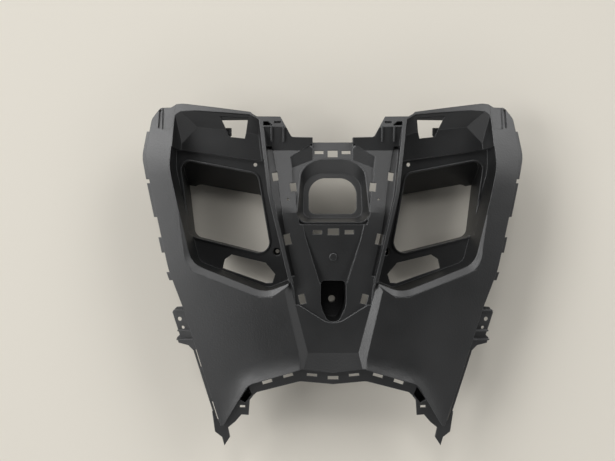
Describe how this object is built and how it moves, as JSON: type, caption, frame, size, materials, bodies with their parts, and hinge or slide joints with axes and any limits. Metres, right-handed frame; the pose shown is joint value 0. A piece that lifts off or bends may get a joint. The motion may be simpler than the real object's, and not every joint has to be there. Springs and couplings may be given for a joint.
{
  "type": "scooter inner panel",
  "caption": "Moulded plastic inner leg shield of a scooter, with twin storage pockets, a key opening, an arched lower edge, clip slots and screw bosses.",
  "frame": {"origin": "on the floor under the middle of the panel, which lies on its back", "axes": "+X across the panel, +Y towards its top edge, +Z out of its face"},
  "size_m": [0.4748, 0.4286, 0.1117],
  "materials": {
    "charcoal_plastic": "fine moulded grain, matt charcoal"
  },
  "bodies": {
    "root": {"inner_panel": "charcoal_plastic"}
  },
  "joints": []
}
